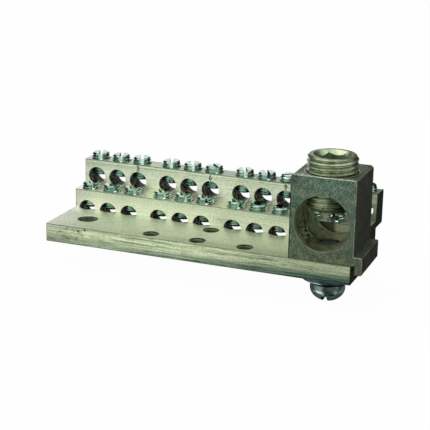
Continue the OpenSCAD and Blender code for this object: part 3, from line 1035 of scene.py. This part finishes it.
def zinc_steel(name, threaded=False):
    """Bright zinc plate with a blue-green film; a threaded screw has dark roots, partly dirt and partly painted
    shade, painted shade on its chamfer that tones down the glint, and painted shade on its end down in the wire
    hole.
    """
    graph = Graph(name)
    film = graph.noise(0.5, 4, 0.6)
    tone = graph.ramp(film, (0.3, (0.26, 0.45, 0.36)), (0.5, (0.48, 0.66, 0.57)), (0.7, (0.68, 0.81, 0.73)))
    if threaded:
        across, deep, up = graph.in_box()
        out = graph.away(across, 0.5, deep, 0.5)
        # Dark thread roots: partly dirt, partly painted shade
        root = graph.overlap(graph.near(out, 0.425, 0.012, 0.02), graph.grey(up, 0.3, 0.0, 0.93, 0.94))
        tone = graph.mix(root, tone, (0.06, 0.10, 0.09))
        # Painted shade on the chamfer, toning down its glint
        chamfer = graph.overlap(graph.fall(graph.facing()[2], 0.80, 0.95), graph.rise(up, 0.92, 0.94))
        tone = graph.scaled(tone, chamfer, (0.40, 0.42, 0.42))
        # Painted shade on the screw's end down in the wire hole
        tip = graph.overlap(graph.fall(up, 0.5, 0.65), graph.grey(film, 1.0, 0.2, 0.4, 0.6))
        tone = graph.scaled(tone, tip, (0.50, 0.58, 0.56))
    graph.set(base_color=tone, metallic=1.0, roughness=graph.grey(film, 0.08, 0.14))
    return graph.material


def zinc_head():
    """The mounting screw's plate: blue-green on the dome, a darker grey head side that is a painted shade under
    the washers, with painted light at its right, a painted highlight at the dome's rim broken by a painted dark
    reflection, and painted shade on the bolt's end inside the lug."""
    graph = Graph("zinc_head")
    film = graph.noise(0.5, 4, 0.6)
    x, _, z = graph.where()
    dome = graph.ramp(film, (0.35, (0.17, 0.31, 0.32)), (0.65, (0.36, 0.55, 0.56)))
    # The head's side in a darker grey: a painted shade under the washers
    side = graph.ramp(film, (0.35, (0.095, 0.145, 0.125)), (0.65, (0.21, 0.29, 0.255)))
    # Painted light on the side's right
    side = graph.scaled(side, graph.rise(x, 89.0, 90.5), (3.2, 3.2, 3.2))
    # A painted highlight at the dome's rim
    band_tone = graph.ramp(film, (0.35, (0.42, 0.54, 0.44)), (0.6, (0.80, 0.92, 0.78)))
    tone = graph.mix(graph.rise(z, HEAD_RIM_Z - 0.4, HEAD_RIM_Z + 0.4), dome, side)
    tone = graph.mix(graph.near(z, HEAD_RIM_Z, 0.2, 0.3), tone, band_tone)
    # A painted dark reflection in the middle of the rim's highlight
    dark_gap_reflection = graph.overlap(graph.near(z, HEAD_RIM_Z - 0.3, 0.5, 0.3), graph.near(x, RIM_GAP_X, 1.1, 0.9))
    tone = graph.scaled(tone, dark_gap_reflection, (0.10, 0.12, 0.12))
    # Painted shade on the bolt's end inside the lug
    tone = graph.mix(graph.rise(z, 8.0, 9.0), tone, (0.045, 0.065, 0.055))
    graph.set(base_color=tone, metallic=1.0, roughness=graph.grey(film, 0.24, 0.34))
    return graph.material


def dark_zinc():
    """The washers' steel with a thin plate: dark, partly its own colour and partly a painted shade under the
    flange, darker on the lock washer beneath the flat washer as a painted shade, and with a painted highlight
    at one side of the flat washer's lower edge.
    """
    graph = Graph("dark_zinc")
    film = graph.noise(0.6, 4, 0.6)
    x, _, z = graph.where()
    # Dark tones: partly the steel's own, partly painted shade under the flange
    tone = graph.ramp(film, (0.35, (0.020, 0.036, 0.037)), (0.65, (0.065, 0.10, 0.10)))
    # Painted shade on the lock washer beneath the flat washer
    lock = graph.fall(z, LOCK_WASHER_Z, LOCK_WASHER_Z + 0.1)
    tone = graph.scaled(tone, lock, (0.28, 0.25, 0.25))
    # A painted highlight at one side of the flat washer's lower edge
    highlight_tone = graph.ramp(film, (0.35, (0.22, 0.38, 0.36)), (0.65, (0.52, 0.66, 0.58)))
    bright = graph.overlap(graph.near(x, 84.0, 1.4, 1.4), graph.near(z, WASHER_FOOT_Z, 0.12, 0.2))
    tone = graph.mix(bright, tone, highlight_tone)
    graph.set(base_color=tone, metallic=1.0, roughness=graph.grey(film, 0.22, 0.32))
    return graph.material


def dress_cad_nodes(materials):
    """Each CAD node takes its slot's material."""
    for row in frame["record"]["subparts"]:
        node = frame["nodes"][row["node"]]
        node.data.materials.clear()
        node.data.materials.append(materials[row["material_slot"]])


# Studio

def background(tree, shade_of, strength):
    """A mix of the plain shader, for the light that falls on the part, with the white that the caller links to
    its last input, for what the camera or a mirror sees."""
    path = tree.nodes.new("ShaderNodeLightPath")
    seen = path.outputs["Is Camera Ray"]
    for name in ("Is Glossy Ray", "Is Transmission Ray"):
        both = tree.nodes.new("ShaderNodeMath")
        both.operation = "MAXIMUM"
        tree.links.new(seen, both.inputs[0])
        tree.links.new(path.outputs[name], both.inputs[1])
        seen = both.outputs["Value"]
    share = tree.nodes.new("ShaderNodeMath")
    share.operation = "MULTIPLY"
    share.inputs[1].default_value = strength
    tree.links.new(seen, share.inputs[0])
    mix = tree.nodes.new("ShaderNodeMixShader")
    tree.links.new(share.outputs["Value"], mix.inputs["Fac"])
    tree.links.new(shade_of, mix.inputs[1])
    return mix


def world():
    made = bpy.data.worlds.new("studio")
    bpy.context.scene.world = made
    made.use_nodes = True
    tree = made.node_tree
    plain = tree.nodes["Background"]
    plain.inputs["Color"].default_value = SKY
    plain.inputs["Strength"].default_value = SKY_STRENGTH
    white = tree.nodes.new("ShaderNodeBackground")
    white.inputs["Color"].default_value = (1, 1, 1, 1)
    white.inputs["Strength"].default_value = 1.0
    mix = background(tree, plain.outputs["Background"], 1.0)
    tree.links.new(white.outputs["Background"], mix.inputs[2])
    tree.links.new(mix.outputs["Shader"], tree.nodes["World Output"].inputs["Surface"])


def sheet(name, corners, material):
    mesh = bpy.data.meshes.new(name)
    mesh.from_pydata(corners, [], [tuple(range(len(corners)))])
    mesh.materials.append(material)
    piece = new_object(name, mesh)
    return piece


def floor():
    graph = Graph("floor")
    tree = graph.tree
    graph.set(base_color=FLOOR_COLOUR, roughness=MATT)
    white = graph.node("ShaderNodeEmission", {"Color": (1, 1, 1, 1), "Strength": 1.0})
    mix = background(tree, graph.shader.outputs["BSDF"], FLOOR_WHITE)
    tree.links.new(white.outputs["Emission"], mix.inputs[2])
    tree.links.new(mix.outputs["Shader"], tree.nodes["Material Output"].inputs["Surface"])
    size = FLOOR_HALF
    z = cad_low.z
    sheet("floor", [(-size, -size, z), (size, -size, z), (size, size, z), (-size, size, z)], graph.material)


def flag(name, corners, grey=CARD_GREY):
    """A dark card out of the camera's sight, for the metal to mirror."""
    graph = Graph(name)
    graph.set(base_color=(grey, grey, grey, 1), roughness=MATT)
    card = sheet(name, corners, graph.material)
    card.visible_camera = False
    card.visible_diffuse = False
    card.visible_shadow = False


def on_floor(*corners):
    """A card's corners, just above the floor."""
    return [(x, y, cad_low.z + CARD_LIFT) for x, y in corners]


def lying(x0, y0, x1, y1):
    """Corners of an oblong card that lies on the floor."""
    return on_floor((x0, y0), (x1, y0), (x1, y1), (x0, y1))


def standing(x0, y0, x1, y1, height):
    """Corners of a card that stands on the floor from one place to another."""
    z = cad_low.z
    return [(x0, y0, z), (x1, y1, z), (x1, y1, z + height), (x0, y0, z + height)]


def softbox(name, spot, target, size, power):
    light = bpy.data.lights.new(name, "AREA")
    light.shape = "RECTANGLE"
    light.size, light.size_y = size
    light.energy = power
    lamp = bpy.data.objects.new(name, light)
    lamp.location = spot
    lamp.rotation_mode = "QUATERNION"
    lamp.rotation_quaternion = (Vector(target) - Vector(spot)).to_track_quat("-Z", "Y")
    bpy.context.scene.collection.objects.link(lamp)


def camera():
    data = bpy.data.cameras.new("camera")
    data.lens = CAMERA_LENS
    data.sensor_width = CAMERA_SENSOR
    data.clip_start, data.clip_end = CAMERA_CLIP
    eye = bpy.data.objects.new("camera", data)
    ahead = Vector((-math.sin(CAMERA_YAW) * math.cos(CAMERA_PITCH),
                    math.cos(CAMERA_YAW) * math.cos(CAMERA_PITCH), -math.sin(CAMERA_PITCH)))
    side = Vector((math.cos(CAMERA_YAW), math.sin(CAMERA_YAW), 0))
    up = side.cross(ahead)
    right = math.cos(CAMERA_ROLL) * side + math.sin(CAMERA_ROLL) * up
    top = -math.sin(CAMERA_ROLL) * side + math.cos(CAMERA_ROLL) * up
    turn = Matrix((right, top, -ahead)).transposed()
    eye.matrix_world = Matrix.Translation(CAMERA_AT) @ turn.to_4x4()
    bpy.context.scene.collection.objects.link(eye)
    bpy.context.scene.camera = eye


MATERIALS = {"bar_aluminium": bar_aluminium(), "lug_aluminium": lug_aluminium(),
             "set_screw_aluminium": set_screw_aluminium(), "zinc_steel": zinc_steel("zinc_steel"),
             "zinc_thread": zinc_steel("zinc_thread", threaded=True), "zinc_head": zinc_head(),
             "dark_zinc": dark_zinc()}
dress_cad_nodes(MATERIALS)
stepped_bar(MATERIALS["bar_aluminium"])
main_lug(MATERIALS["lug_aluminium"])
terminal_screws("upper", MATERIALS["zinc_thread"])
terminal_screws("lower", MATERIALS["zinc_thread"])
set_screw(MATERIALS["set_screw_aluminium"])
mounting_screw(MATERIALS["zinc_head"])
washers(MATERIALS["dark_zinc"])

world()
floor()
# Places of the cards in metres, and a grey for those that aren't the darkest
flag("behind_flag", on_floor((-0.25, 0.06), (0.0, 0.04), (0.19, 0.04), (0.2, 0.1), (0.45, 0.2), (0.45, 0.5),
                             (-0.25, 0.5)))
flag("beside_flag", lying(0.1, -0.01, 0.19, 0.04))
flag("below_flag", lying(0.06, -0.0075, 0.1, 0.04), 0.4)
flag("screw_flag", on_floor((0.080, -0.03), (0.101, -0.03), (0.108, -0.009), (0.084, -0.009)), 0.04)
flag("left_floor_flag", lying(-0.25, -0.03, -0.005, 0.12))
flag("left_front_flag", lying(-0.1, -0.085, -0.046, -0.03), 0.03)
flag("back_flag", standing(-0.01, 0.3, 0.7, 0.3, 0.45))
flag("right_flag", standing(0.45, -0.05, 0.45, 0.3, 0.2))
flag("left_flag", standing(-0.3, -0.12, -0.3, 0.5, 0.4))
flag("front_flag", on_floor((0.065, -0.11), (0.14, -0.085), (0.28, -0.40), (0.16, -0.45)))
centre = (cad_low + cad_high) / 2
softbox("key", centre + KEY_FROM, centre, KEY_SIZE, KEY_POWER)
softbox("top", centre + TOP_FROM, centre, TOP_SIZE, TOP_POWER)
camera()
bpy.context.scene.view_settings.view_transform = "Standard"
